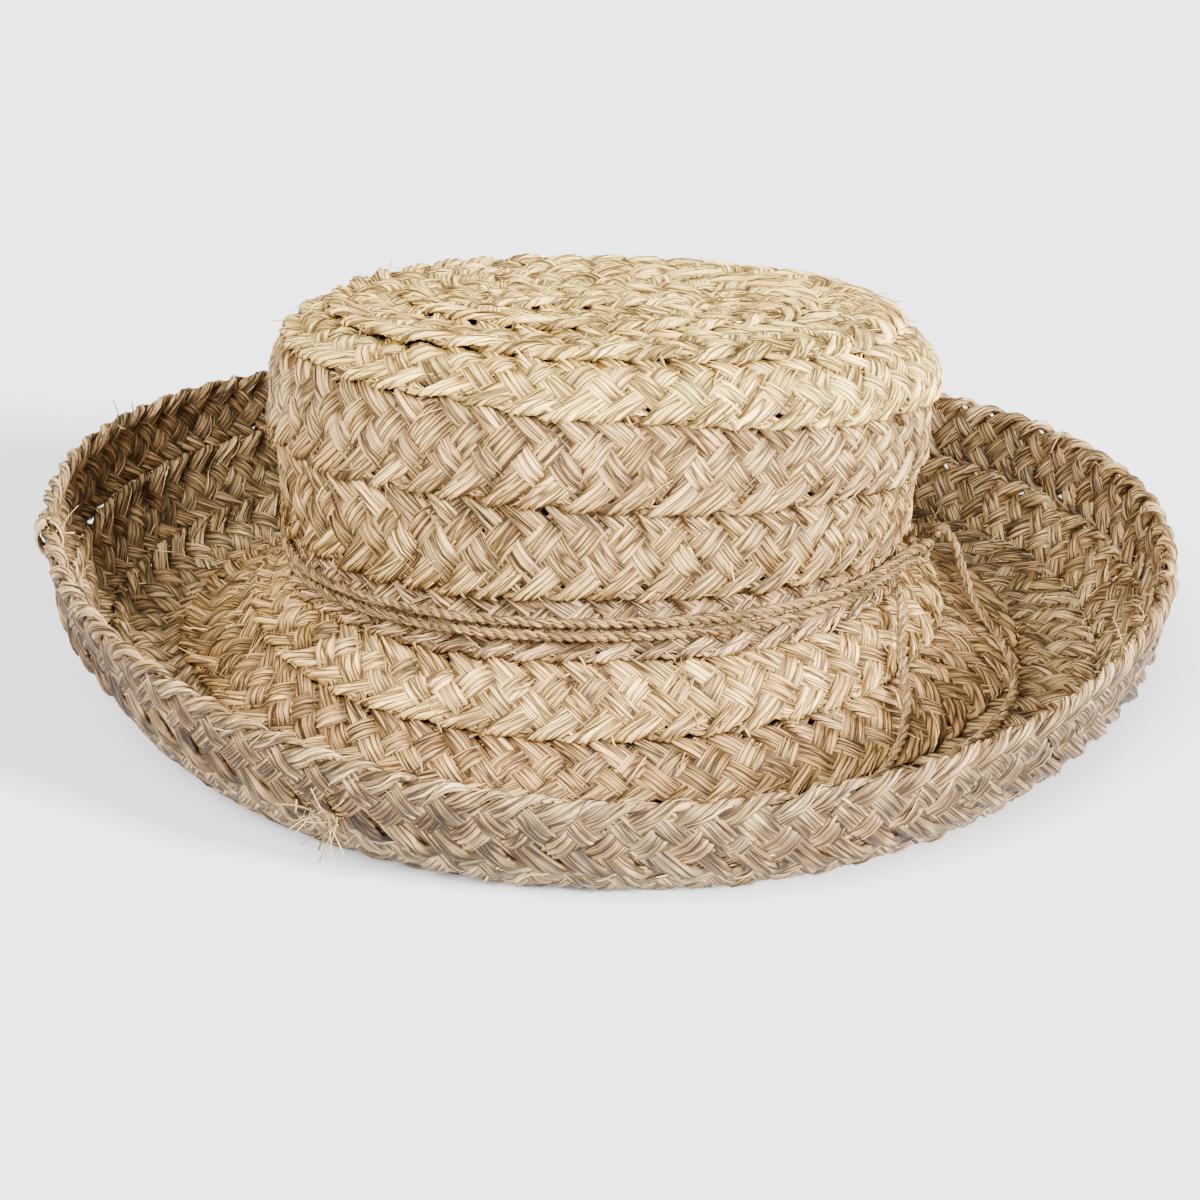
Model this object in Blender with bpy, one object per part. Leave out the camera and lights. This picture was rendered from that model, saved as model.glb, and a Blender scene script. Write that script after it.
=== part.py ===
"""A raffia sun hat: a flat-topped oval crown, a brim that dips and turns up, and a twisted cord tied round it.

The hat is modelled upright on its own axis, with the head opening at height 0, under an empty called
hat. The empty is then tilted and set down, so that the hat lies level on the surface at z = 0 as a
real one would, with the middle of its brim over the origin. All sizes are in metres.
"""

import math

import bmesh
import bpy
from mathutils import Euler, Vector

# Crown, measured to the middle of the plaited wall
OPENING_LENGTH = 0.201
OPENING_WIDTH = 0.169
SHOULDER_LENGTH = 0.218
SHOULDER_WIDTH = 0.172
SHOULDER_RIGHT = 0.0035
SHOULDER_FORWARD = 0.001
SIDE_HEIGHT = 0.0705
TIP_RISE = 0.0185
TIP_FALL_RIGHT = 0.0018
TIP_FALL_BACK = 0.0045
OVAL_POWER = 2.15

# Brim, measured to the middle of the plaited wall, with heights counted from the head opening
RIM_LENGTH = 0.3784
RIM_WIDTH = 0.3486
RIM_RIGHT = 0.0059
RIM_HEIGHT_FRONT = -0.0047
RIM_HEIGHT_BACK = 0.0176
RIM_HEIGHT_LEFT = 0.0298
RIM_HEIGHT_RIGHT = 0.0150
NECK = 0.003
FALL_ANGLE = math.radians(44.7)
FALL_REACH = 0.060
CURL_REACH = 0.065
LEAN_AT_ENDS = math.radians(7.7)
LEAN_AT_SIDES = math.radians(3.9)

# Plaited wall, and the gap between pieces that touch
WALL = 0.003
GAP = 0.0003

# How the hat lies on the surface, and how deep its underside is pressed flat there
TILT_BACK = math.radians(2.4)
TILT_LEFT = math.radians(1.1)
PRESSED_FLAT = 0.0004

# Twisted cord: two turns round the crown, a knot at the right end and two loose tails
CORD = 0.004
CORD_STAND_OFF = 0.0008
TURN_GAP = 0.0004
LOWER_TURN_HEIGHT = 0.0062
TURN_HEIGHTS = {"lower": LOWER_TURN_HEIGHT, "upper": LOWER_TURN_HEIGHT + CORD + TURN_GAP}
KNOT_OUT = 0.0115
KNOT_FORWARD = 0.0078
KNOT_HEIGHT = 0.0024
KNOT_HALF_SIZE = (0.0050, 0.0058, 0.0062)
TAIL_KNOT_HALF_SIZE = (0.0040, 0.0034, 0.0032)
KNOT_CLEARANCE = 0.0008
LEAVES_CROWN = math.radians(32)
POINT_EVERY = 0.010
SMOOTH_STEPS = 16
KNOT_SIDES = 14
KNOT_ROWS = 8

# Routes of the two tails over the brim, chosen by hand
TAIL_FRONT = [
    (0.0944, -0.0384, 0.0437),
    (0.0956, -0.0430, 0.0411),
    (0.0952, -0.0520, 0.0375),
    (0.0940, -0.0620, 0.0328),
    (0.0940, -0.0780, 0.0251),
    (0.0920, -0.0920, 0.0193),
    (0.0870, -0.1040, 0.0154),
    (0.0800, -0.1140, 0.0127),
    (0.0740, -0.1205, 0.0113),
]
TAIL_SIDE = [
    (0.1118, -0.0045, 0.0475),
    (0.1150, -0.0030, 0.0490),
    (0.1190, -0.0045, 0.0440),
    (0.1225, -0.0070, 0.0350),
    (0.1265, -0.0120, 0.0255),
    (0.1330, -0.0260, 0.0192),
    (0.1350, -0.0420, 0.0167),
    (0.1330, -0.0580, 0.0151),
    (0.1270, -0.0720, 0.0142),
    (0.1190, -0.0840, 0.0136),
    (0.1100, -0.0940, 0.0131),
]

# Rings up the crown's side: share of its height, share of the swell from opening to shoulder
SIDE_RINGS = [
    (0.06, 0.00),
    (0.14, 0.20),
    (0.35, 0.52),
    (0.65, 0.86),
    (0.85, 1.00),
    (1.00, 1.00),
]
# Rings over the tip: share of the shoulder's size, share of the tip's rise
TIP_RINGS = [
    (1.000, 0.00),
    (1.000, 0.12),
    (0.945, 0.48),
    (0.870, 0.78),
    (0.800, 0.92),
    (0.500, 0.985),
    (0.160, 1.00),
]
RING_POINTS = 64
BRIM_RINGS = 14

STRAW = (0.52, 0.40, 0.24, 1.0)
STRAW_LIGHT = (0.58, 0.47, 0.30, 1.0)
STRAW_BROWN = (0.42, 0.31, 0.19, 1.0)
CORD_STRAW = (0.50, 0.39, 0.26, 1.0)


def material(name, colour, roughness):
    made = bpy.data.materials.new(name)
    made.use_nodes = True
    shader = made.node_tree.nodes["Principled BSDF"]
    shader.inputs["Base Color"].default_value = colour
    shader.inputs["Roughness"].default_value = roughness
    shader.inputs["Metallic"].default_value = 0.0
    return made


def oval(length, width, angle):
    """Point at an angle on an oval that is a little squarer than an ellipse."""
    across, along = math.cos(angle), math.sin(angle)
    x = length / 2 * math.copysign(abs(across) ** (2 / OVAL_POWER), across)
    y = width / 2 * math.copysign(abs(along) ** (2 / OVAL_POWER), along)
    return Vector((x, y, 0.0))


def side_point(angle, height, swell):
    """Middle of the crown's wall at a share of the side's height."""
    length = OPENING_LENGTH + (SHOULDER_LENGTH - OPENING_LENGTH) * swell
    width = OPENING_WIDTH + (SHOULDER_WIDTH - OPENING_WIDTH) * swell
    point = oval(length, width, angle)
    fall = TIP_FALL_RIGHT * point.x * 2 / length + TIP_FALL_BACK * point.y * 2 / width
    shift = Vector((SHOULDER_RIGHT, -SHOULDER_FORWARD, SIDE_HEIGHT - fall))
    return point + shift * height


def tip_point(angle, size, rise):
    """Middle of the tip's wall on a ring that has a share of the shoulder's size."""
    point = oval(SHOULDER_LENGTH * size, SHOULDER_WIDTH * size, angle)
    fall = TIP_FALL_RIGHT * point.x * 2 / SHOULDER_LENGTH + TIP_FALL_BACK * point.y * 2 / SHOULDER_WIDTH
    return point + Vector((SHOULDER_RIGHT, -SHOULDER_FORWARD, SIDE_HEIGHT - fall + TIP_RISE * rise))


def rim_height(angle):
    """Height of the rim: the four named heights, joined by a smooth wave round the brim."""
    ends = (RIM_HEIGHT_FRONT + RIM_HEIGHT_BACK) / 2
    sides = (RIM_HEIGHT_LEFT + RIM_HEIGHT_RIGHT) / 2
    wave = (ends + sides) / 2 + (sides - ends) / 2 * math.cos(2 * angle)
    wave += (RIM_HEIGHT_RIGHT - RIM_HEIGHT_LEFT) / 2 * math.cos(angle)
    return wave + (RIM_HEIGHT_BACK - RIM_HEIGHT_FRONT) / 2 * math.sin(angle)


def brim_point(angle, share):
    """Middle of the brim's wall: one curve that falls from the crown, dips, and curls up to the rim."""
    start = oval(OPENING_LENGTH, OPENING_WIDTH, angle)
    rim = Vector((RIM_RIGHT + RIM_LENGTH / 2 * math.cos(angle), RIM_WIDTH / 2 * math.sin(angle), 0.0))
    span = (rim - start).length
    lean = (LEAN_AT_ENDS + LEAN_AT_SIDES) / 2 + (LEAN_AT_SIDES - LEAN_AT_ENDS) / 2 * math.cos(2 * angle)
    top = rim_height(angle)
    controls = [
        (0.0, 0.0),
        (FALL_REACH * math.cos(FALL_ANGLE), -FALL_REACH * math.sin(FALL_ANGLE)),
        (span - CURL_REACH * math.sin(lean), top - CURL_REACH * math.cos(lean)),
        (span, top),
    ]
    rest = 1 - share
    weights = [rest**3, 3 * rest**2 * share, 3 * rest * share**2, share**3]
    out = sum(weight * control[0] for weight, control in zip(weights, controls))
    up = sum(weight * control[1] for weight, control in zip(weights, controls))
    return start + (rim - start) * (out / span) + Vector((0.0, 0.0, up))


def ring_angles():
    return [2 * math.pi * step / RING_POINTS for step in range(RING_POINTS)]


def shell(name, rings, skin, closed_top, parent):
    """Sheet through the rings, thickened to the wall. Rings run outwards or upwards, seen from outside."""
    mesh = bmesh.new()
    rows = [[mesh.verts.new(point) for point in ring] for ring in rings]
    for low, high in zip(rows, rows[1:]):
        for step in range(RING_POINTS):
            after = (step + 1) % RING_POINTS
            mesh.faces.new((low[step], low[after], high[after], high[step]))
    if closed_top:
        mesh.faces.new(rows[-1])
    bmesh.ops.recalc_face_normals(mesh, faces=mesh.faces)
    data = bpy.data.meshes.new(name)
    mesh.to_mesh(data)
    mesh.free()
    data.shade_smooth()
    data.materials.append(skin)
    made = bpy.data.objects.new(name, data)
    bpy.context.collection.objects.link(made)
    made.parent = parent
    thick = made.modifiers.new("wall", "SOLIDIFY")
    thick.thickness = WALL
    thick.offset = 0.0
    thick.use_even_offset = True
    return made


def crown_side(parent):
    skin = material("plaited raffia, crown side", STRAW, 0.75)
    bottom = (NECK + GAP / 2) / SIDE_HEIGHT
    rings = []
    for height, swell in [(bottom, 0.0), *SIDE_RINGS]:
        ring = [side_point(angle, height, swell) for angle in ring_angles()]
        rings.append(ring)
    rings[-1] = [point - Vector((0, 0, GAP / 2)) for point in rings[-1]]
    return shell("crown_side", rings, skin, False, parent)


def crown_tip(parent):
    skin = material("plaited raffia, crown tip", STRAW_LIGHT, 0.75)
    rings = [[tip_point(angle, size, rise) for angle in ring_angles()] for size, rise in TIP_RINGS]
    rings[0] = [point + Vector((0, 0, GAP / 2)) for point in rings[0]]
    return shell("crown_tip", rings, skin, True, parent)


def brim(parent):
    """The brim starts as a short upright neck under the crown's side, where the cord lies."""
    skin = material("plaited raffia, brim", STRAW_BROWN, 0.75)
    opening = [oval(OPENING_LENGTH, OPENING_WIDTH, angle) for angle in ring_angles()]
    rings = [[point + Vector((0, 0, NECK - GAP / 2)) for point in opening]]
    rings.append([point + Vector((0, 0, NECK / 3)) for point in opening])
    for step in range(1, BRIM_RINGS + 1):
        rings.append([brim_point(angle, step / BRIM_RINGS) for angle in ring_angles()])
    return shell("brim", rings, skin, False, parent)


def world_bounds(made):
    bpy.context.view_layer.update()
    evaluated = made.evaluated_get(bpy.context.evaluated_depsgraph_get())
    corners = [evaluated.matrix_world @ vertex.co for vertex in evaluated.data.vertices]
    low = Vector(min(corner[axis] for corner in corners) for axis in range(3))
    high = Vector(max(corner[axis] for corner in corners) for axis in range(3))
    return low, high


def set_down(hat, lowest_piece):
    """Tilts the hat as it lies, and puts the middle of its brim over the origin, its underside on z = 0."""
    hat.rotation_euler = Euler((-TILT_BACK, -TILT_LEFT, 0.0))
    low, high = world_bounds(lowest_piece)
    middle = (low + high) / 2
    hat.location = Vector((-middle.x, -middle.y, -low.z - PRESSED_FLAT))
    bpy.context.view_layer.update()


def press_flat(made):
    """Trims what would sink into the surface, so that the brim has flat places to lie on."""
    room = RIM_LENGTH * 1.5
    bpy.ops.mesh.primitive_cube_add(size=room, location=(0, 0, -room / 2))
    surface = bpy.context.object
    surface.name = "surface_cutter"
    surface.hide_render = True
    surface.display_type = "WIRE"
    cut = made.modifiers.new("pressed flat", "BOOLEAN")
    cut.operation = "DIFFERENCE"
    cut.object = surface


def smooth_route(points, spacing):
    """Points at even steps along a smooth curve through the given ones."""
    points = [Vector(point) for point in points]
    ends = [2 * points[0] - points[1], *points, 2 * points[-1] - points[-2]]
    fine = []
    for before, start, stop, after in zip(ends, ends[1:], ends[2:], ends[3:]):
        for step in range(SMOOTH_STEPS):
            t = step / SMOOTH_STEPS
            bend = 2 * before - 5 * start + 4 * stop - after
            twist = 3 * start - before - 3 * stop + after
            fine.append(start + (stop - before) * t / 2 + bend * t**2 / 2 + twist * t**3 / 2)
    fine.append(points[-1])
    travelled = [0.0]
    for start, stop in zip(fine, fine[1:]):
        travelled.append(travelled[-1] + (stop - start).length)
    count = max(3, round(travelled[-1] / spacing))
    route = []
    at = 0
    for step in range(count + 1):
        wanted = travelled[-1] * step / count
        while at < len(fine) - 2 and travelled[at + 1] < wanted:
            at += 1
        along = (wanted - travelled[at]) / (travelled[at + 1] - travelled[at])
        route.append(fine[at].lerp(fine[at + 1], along))
    return route


def cord(name, points, skin, parent=None):
    curve = bpy.data.curves.new(name, "CURVE")
    curve.dimensions = "3D"
    curve.bevel_depth = CORD / 2
    curve.bevel_resolution = 2
    curve.use_fill_caps = True
    line = curve.splines.new("POLY")
    line.points.add(len(points) - 1)
    for spot, point in zip(line.points, points):
        spot.co = (*point, 1.0)
    line.use_smooth = True
    curve.materials.append(skin)
    made = bpy.data.objects.new(name, curve)
    bpy.context.collection.objects.link(made)
    made.parent = parent
    return made


def turn_route(height, knot_at):
    """Once round the crown just above the brim, leaving the wall near the right end to reach the knot."""
    (low, low_swell), (high, high_swell) = SIDE_RINGS[1:3]
    rise = (high - low) * SIDE_HEIGHT
    lean = (SHOULDER_LENGTH - OPENING_LENGTH) / 2 * (high_swell - low_swell) / rise
    stand_off = (WALL / 2 + CORD_STAND_OFF + CORD / 2) * math.hypot(1, lean)
    share = height / SIDE_HEIGHT
    swell = SIDE_RINGS[1][1] * share / SIDE_RINGS[1][0]
    beside_knot = max(KNOT_HALF_SIZE) + KNOT_CLEARANCE
    mean_height = sum(TURN_HEIGHTS.values()) / len(TURN_HEIGHTS)
    steps = round(math.pi * (OPENING_LENGTH + OPENING_WIDTH) / 2 / POINT_EVERY)
    route = []
    for step in range(steps + 1):
        angle = 2 * math.pi * step / steps
        wall = side_point(angle, share, swell)
        ahead = side_point(angle + math.pi / steps, share, swell)
        behind = side_point(angle - math.pi / steps, share, swell)
        outward = Vector((ahead.y - behind.y, behind.x - ahead.x, 0.0)).normalized()
        away = min(angle, 2 * math.pi - angle) / LEAVES_CROWN
        pull = max(0.0, 1 - away) ** 2 * (1 + 2 * away)
        side = 1 if angle < math.pi else -1
        end = knot_at + Vector((0.0, side * beside_knot, height - mean_height))
        route.append((wall + outward * stand_off).lerp(end, pull))
    return smooth_route(route, POINT_EVERY)


def knot(name, at, half_size, skin, parent=None):
    """A small tight knot, as the rounded outer form of its crossing strands."""
    mesh = bmesh.new()
    bmesh.ops.create_uvsphere(mesh, u_segments=KNOT_SIDES, v_segments=KNOT_ROWS, radius=1.0)
    bmesh.ops.scale(mesh, vec=half_size, verts=mesh.verts)
    data = bpy.data.meshes.new(name)
    mesh.to_mesh(data)
    mesh.free()
    data.shade_smooth()
    data.materials.append(skin)
    made = bpy.data.objects.new(name, data)
    bpy.context.collection.objects.link(made)
    made.location = at
    made.parent = parent
    return made


def tail(name, points, skin):
    """A loose tail with a small knot just past its end."""
    route = smooth_route(points, POINT_EVERY)
    cord("cord_tail_" + name, route, skin)
    onward = (route[-1] - route[-2]).normalized()
    at = route[-1] + onward * (TAIL_KNOT_HALF_SIZE[0] + GAP)
    end = knot("tail_knot_" + name, at, TAIL_KNOT_HALF_SIZE, skin)
    end.rotation_euler = (0.0, 0.0, math.atan2(onward.y, onward.x))
    length = sum((stop - start).length for start, stop in zip(route, route[1:]))
    print("tail", name, "is", round(length * 1000, 1), "mm long")


def main():
    for old in list(bpy.data.objects):
        bpy.data.objects.remove(old)
    hat = bpy.data.objects.new("hat", None)
    bpy.context.collection.objects.link(hat)
    crown_tip(hat)
    crown_side(hat)
    lying = brim(hat)
    set_down(hat, lying)
    press_flat(lying)
    twisted = material("twisted raffia cord", CORD_STRAW, 0.7)
    knot_at = Vector((OPENING_LENGTH / 2 + KNOT_OUT, -KNOT_FORWARD, KNOT_HEIGHT))
    for name, height in TURN_HEIGHTS.items():
        cord("cord_turn_" + name, turn_route(height, knot_at), twisted, hat)
    knot("cord_knot", knot_at, KNOT_HALF_SIZE, twisted, hat)
    tail("front", TAIL_FRONT, twisted)
    tail("side", TAIL_SIDE, twisted)


main()
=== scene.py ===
# %% [markdown]
# # A plaited raffia sun hat
# The real hat is one long flat plait of raffia, five strands wide. It starts in the middle of the
# crown's tip and is sewn round and round, each turn lapping a little over the next, down the side
# and out to the rim. A twisted cord is tied round the crown. This lesson plaits those rows strand
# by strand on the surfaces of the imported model, so the looks sit exactly where the solids are.

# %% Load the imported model
import math

import bpy
import numpy as np
from mathutils import Euler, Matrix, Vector


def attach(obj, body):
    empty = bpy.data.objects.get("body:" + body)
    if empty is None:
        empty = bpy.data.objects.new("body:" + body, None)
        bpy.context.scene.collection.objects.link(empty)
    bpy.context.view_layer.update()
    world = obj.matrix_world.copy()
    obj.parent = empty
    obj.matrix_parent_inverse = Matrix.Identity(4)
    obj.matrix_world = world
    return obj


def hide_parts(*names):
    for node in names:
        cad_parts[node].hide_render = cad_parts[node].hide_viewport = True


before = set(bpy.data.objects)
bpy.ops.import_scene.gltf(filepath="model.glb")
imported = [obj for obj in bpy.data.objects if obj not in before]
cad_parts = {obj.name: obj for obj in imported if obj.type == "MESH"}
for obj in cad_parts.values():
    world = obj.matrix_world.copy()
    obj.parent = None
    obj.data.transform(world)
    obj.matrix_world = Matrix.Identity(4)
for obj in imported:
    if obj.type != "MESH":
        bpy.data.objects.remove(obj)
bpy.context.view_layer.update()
MM = 0.001
TURN = 2 * math.pi
draw = np.random.default_rng(11)

# %% [markdown]
# ## The camera
# It stands where the photograph was taken from: a little above the brim and in front. A real camera
# here would be about 75 cm away with a short telephoto lens, which keeps the oval crown from
# looking stretched.

# %% Set the camera
CAMERA_AT = (-0.0121, -0.6819, 0.3468)
CAMERA_TURN = (64.286, -1.006, -0.279)
CAMERA_LENS = 64.5


def deselect():
    """Operators act on everything that is selected, so each step starts with nothing selected."""
    bpy.ops.object.select_all(action="DESELECT")


deselect()
bpy.ops.object.camera_add(location=CAMERA_AT, rotation=[math.radians(turn) for turn in CAMERA_TURN])
camera = bpy.context.object
camera.name = "photo_camera"
camera.data.lens = CAMERA_LENS
bpy.context.scene.camera = camera
print("camera looks down by", round(90 - CAMERA_TURN[0], 1), "degrees")

# %% [markdown]
# ## The hat's surfaces
# Every strand needs a place to lie. The shape is the same as the solids': an oval crown that swells
# to its shoulder, a low domed tip, and a brim that falls, dips and curls up. It is worked out once
# as a grid: an angle round the hat, and an arc in millimetres from the shoulder, which is
# negative up on the tip and grows down the side and out over the brim. A strand is then laid by
# three numbers, its angle, its arc and its height above the middle of the wall.

# %% Sizes of the hat
OPENING_LENGTH = 0.201
OPENING_WIDTH = 0.169
SHOULDER_LENGTH = 0.218
SHOULDER_WIDTH = 0.172
SHOULDER_RIGHT = 0.0035
SHOULDER_FORWARD = 0.001
SIDE_HEIGHT = 0.0705
TIP_RISE = 0.0185
TIP_FALL_RIGHT = 0.0018
TIP_FALL_BACK = 0.0045
OVAL_POWER = 2.15
RIM_LENGTH = 0.3784
RIM_WIDTH = 0.3486
RIM_RIGHT = 0.0059
RIM_HEIGHT_FRONT = -0.0047
RIM_HEIGHT_BACK = 0.0176
RIM_HEIGHT_LEFT = 0.0298
RIM_HEIGHT_RIGHT = 0.0150
FALL_ANGLE = math.radians(44.7)
FALL_REACH = 0.060
CURL_REACH = 0.065
LEAN_AT_ENDS = math.radians(7.7)
LEAN_AT_SIDES = math.radians(3.9)
WALL = 0.003
HAT_TURN = Euler((math.radians(-2.4), math.radians(-1.1), 0.0))
HAT_AT = np.array((-0.005471, -0.000259, 0.038133))
SWELL_AT = (0.0, 0.06, 0.14, 0.35, 0.65, 0.85, 1.0)
SWELL = (0.0, 0.0, 0.20, 0.52, 0.86, 1.0, 1.0)
TIP_SIZE = (0.0, 0.16, 0.50, 0.80, 0.87, 0.945, 1.0)
TIP_HEIGHT = (1.0, 1.0, 0.985, 0.92, 0.78, 0.48, 0.12)
MIDDLE_STRIP = 0.023
hat_turn = np.array(HAT_TURN.to_matrix())


# %% Shape the crown and the brim
def oval(length, width, angle):
    """Points on an oval that is a little squarer than an ellipse."""
    across, along = np.cos(angle), np.sin(angle)
    x = length / 2 * np.sign(across) * np.abs(across) ** (2 / OVAL_POWER)
    y = width / 2 * np.sign(along) * np.abs(along) ** (2 / OVAL_POWER)
    return np.stack([x, y, np.zeros_like(x)], axis=-1)


def tip_height(plan):
    """Height of the tip over a point of its plan, counted from the head opening."""
    out = (np.abs(plan[..., 0] * 2 / SHOULDER_LENGTH) ** OVAL_POWER
           + np.abs(plan[..., 1] * 2 / SHOULDER_WIDTH) ** OVAL_POWER) ** (1 / OVAL_POWER)
    fall = TIP_FALL_RIGHT * plan[..., 0] * 2 / SHOULDER_LENGTH
    fall = fall + TIP_FALL_BACK * plan[..., 1] * 2 / SHOULDER_WIDTH
    return SIDE_HEIGHT - fall + TIP_RISE * np.interp(out, TIP_SIZE, TIP_HEIGHT)


def tip_point(angle, inward):
    """Middle of the tip's wall, from the shoulder at 0 to the middle strip at 1."""
    edge = oval(SHOULDER_LENGTH, SHOULDER_WIDTH, angle)
    middle = np.zeros_like(edge)
    middle[..., 0] = MIDDLE_STRIP * edge[..., 0] * 2 / SHOULDER_LENGTH
    plan = edge + (middle - edge) * inward
    plan[..., 2] = tip_height(plan)
    return plan + np.array((SHOULDER_RIGHT, -SHOULDER_FORWARD, 0.0))


def side_point(angle, height):
    """Middle of the side's wall, from the brim at 0 to the shoulder at 1."""
    swell = np.interp(height, SWELL_AT, SWELL)
    length = OPENING_LENGTH + (SHOULDER_LENGTH - OPENING_LENGTH) * swell
    width = OPENING_WIDTH + (SHOULDER_WIDTH - OPENING_WIDTH) * swell
    point = oval(length, width, angle)
    fall = TIP_FALL_RIGHT * point[..., 0] * 2 / length + TIP_FALL_BACK * point[..., 1] * 2 / width
    point[..., 0] += SHOULDER_RIGHT * height
    point[..., 1] -= SHOULDER_FORWARD * height
    point[..., 2] += (SIDE_HEIGHT - fall) * height
    return point


def rim_height(angle):
    ends = (RIM_HEIGHT_FRONT + RIM_HEIGHT_BACK) / 2
    sides = (RIM_HEIGHT_LEFT + RIM_HEIGHT_RIGHT) / 2
    wave = (ends + sides) / 2 + (sides - ends) / 2 * np.cos(2 * angle)
    wave = wave + (RIM_HEIGHT_RIGHT - RIM_HEIGHT_LEFT) / 2 * np.cos(angle)
    return wave + (RIM_HEIGHT_BACK - RIM_HEIGHT_FRONT) / 2 * np.sin(angle)


def brim_point(angle, share):
    """Middle of the brim's wall, from the crown at 0 to the rim at 1."""
    start = oval(OPENING_LENGTH, OPENING_WIDTH, angle)
    rim = np.zeros_like(start)
    rim[..., 0] = RIM_RIGHT + RIM_LENGTH / 2 * np.cos(angle)
    rim[..., 1] = RIM_WIDTH / 2 * np.sin(angle)
    span = np.linalg.norm(rim - start, axis=-1)
    lean = (LEAN_AT_ENDS + LEAN_AT_SIDES) / 2 + (LEAN_AT_SIDES - LEAN_AT_ENDS) / 2 * np.cos(2 * angle)
    top = rim_height(angle)
    outs = (0.0, FALL_REACH * math.cos(FALL_ANGLE), span - CURL_REACH * np.sin(lean), span)
    ups = (0.0, -FALL_REACH * math.sin(FALL_ANGLE), top - CURL_REACH * np.cos(lean), top)
    rest = 1 - share
    weights = (rest**3, 3 * rest**2 * share, 3 * rest * share**2, share**3)
    out = sum(weight * place for weight, place in zip(weights, outs))
    point = start + (rim - start) * (out / span)[..., None]
    point[..., 2] = sum(weight * place for weight, place in zip(weights, ups))
    return point


def to_world(points):
    """From the hat's own upright frame to where it lies."""
    return points @ hat_turn.T + HAT_AT


# %% Lay the grid over the surfaces
ANGLES = 720
ARC_STEP = 0.0005
ARC_FROM = -0.090
ARC_TO = 0.214
EASE_CORNERS = 0.0018
EASE_REACH = 3
PAST_THE_RIM = 0.020
TIP_POINTS = 90
SIDE_POINTS = 60
BRIM_POINTS = 110
# Rows kept back from the grid's end, so that the row after any row exists
SHORT_OF_END = 1.001


def profile(angle):
    """Points down one side of the hat at an angle, with the arc at each, 0 at the shoulder."""
    tip = tip_point(np.full(TIP_POINTS, angle), np.linspace(1.0, 0.0, TIP_POINTS)[:, None])
    side = side_point(np.full(SIDE_POINTS, angle), np.linspace(1.0, 0.0, SIDE_POINTS))
    brim = brim_point(np.full(BRIM_POINTS, angle), np.linspace(0.0, 1.0, BRIM_POINTS))
    onward = brim[-1] - brim[-2]
    beyond = brim[-1:] + onward / np.linalg.norm(onward) * PAST_THE_RIM
    line = np.concatenate([tip, side, brim[1:], beyond])
    arc = np.concatenate([[0.0], np.cumsum(np.linalg.norm(np.diff(line, axis=0), axis=1))])
    arc -= arc[len(tip)]
    return line, arc, arc[0], arc[len(tip) + len(side) - 1], arc[-2]


angles = np.arange(ANGLES) * TURN / ANGLES
arcs = np.arange(ARC_FROM, ARC_TO, ARC_STEP)
surface = np.empty((ANGLES, len(arcs), 3))
tip_arc, crease_arc, rim_arc = np.empty(ANGLES), np.empty(ANGLES), np.empty(ANGLES)
for number, angle in enumerate(angles):
    line, arc, tip_arc[number], crease_arc[number], rim_arc[number] = profile(angle)
    for axis in range(3):
        surface[number, :, axis] = np.interp(arcs, arc, line[:, axis])
reach = int(EASE_REACH * EASE_CORNERS / ARC_STEP)
bell = np.exp(-0.5 * (np.arange(-reach, reach + 1) * ARC_STEP / EASE_CORNERS) ** 2)
bell /= bell.sum()
eased = np.pad(surface, ((0, 0), (reach, reach), (0, 0)), mode="edge")
eased = sum(weight * eased[:, shift:shift + len(arcs)] for shift, weight in enumerate(bell))
eased[:, :reach], eased[:, -reach:] = surface[:, :reach], surface[:, -reach:]
surface = to_world(eased)
around = np.roll(surface, -1, axis=0) - np.roll(surface, 1, axis=0)
outward = np.cross(np.gradient(surface, axis=1), around)
outward /= np.linalg.norm(outward, axis=-1, keepdims=True)
print("side is", round(crease_arc.mean() / MM, 1), "mm down, brim",
      round((rim_arc - crease_arc).mean() / MM, 1), "mm across")


def round_hat(values, angle):
    """A value that is known at every grid angle, read at any angle."""
    return np.interp(angle % TURN, np.append(angles, TURN), np.append(values, values[0]))


def on_surface(angle, arc, out):
    """World points at an angle, an arc from the shoulder and a height above the middle of the wall."""
    column = angle % TURN / TURN * ANGLES
    row = np.clip((arc - ARC_FROM) / ARC_STEP, 0, len(arcs) - SHORT_OF_END)
    left = column.astype(int) % ANGLES
    right = (left + 1) % ANGLES
    low = row.astype(int)
    side = (column - np.floor(column))[..., None]
    up = (row - low)[..., None]
    place, facing = (
        (grid[left, low] * (1 - side) + grid[right, low] * side) * (1 - up)
        + (grid[left, low + 1] * (1 - side) + grid[right, low + 1] * side) * up
        for grid in (surface, outward)
    )
    return place + facing * out[..., None]


# %% [markdown]
# ## Raffia
# Raffia is the dried skin of palm leaflets, split into ribbons: pale straw, satin rather than
# glossy, with fine lines along its length and here and there a brown or a bleached fibre. A photo
# of it could be wrapped round each strand, but it would repeat. So each strand carries its own base
# colour as an attribute, because every strand was a different leaf, and the material adds the
# lines, which follow the strand, and a fine bump of the same scale.

# %% Helpers for materials
# The straw of each region, whose tones also hold painted light and shade. The tip and the brim's first
# row are the palest: partly straw paled by the sun, partly painted light where the light falls most
STRAW_HEX = {
    "tip": "#F8D37C",
    "side": "#CEA96D",
    "low": "#D0AB7A",
    "brim": "#F2C880",
    "mid brim": "#D2AA70",
    "far brim": "#DABA86",
    "rim": "#C4A476",
    "cord": "#AC8A5A",
    "rust": "#8A5630",
}


def linear(hex_colour):
    """An sRGB hex colour as linear light, the way shaders want it."""
    levels = [int(hex_colour[place:place + 2], 16) / 255 for place in (1, 3, 5)]
    return np.array([level / 12.92 if level <= 0.04045 else ((level + 0.055) / 1.055) ** 2.4
                     for level in levels])


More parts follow.
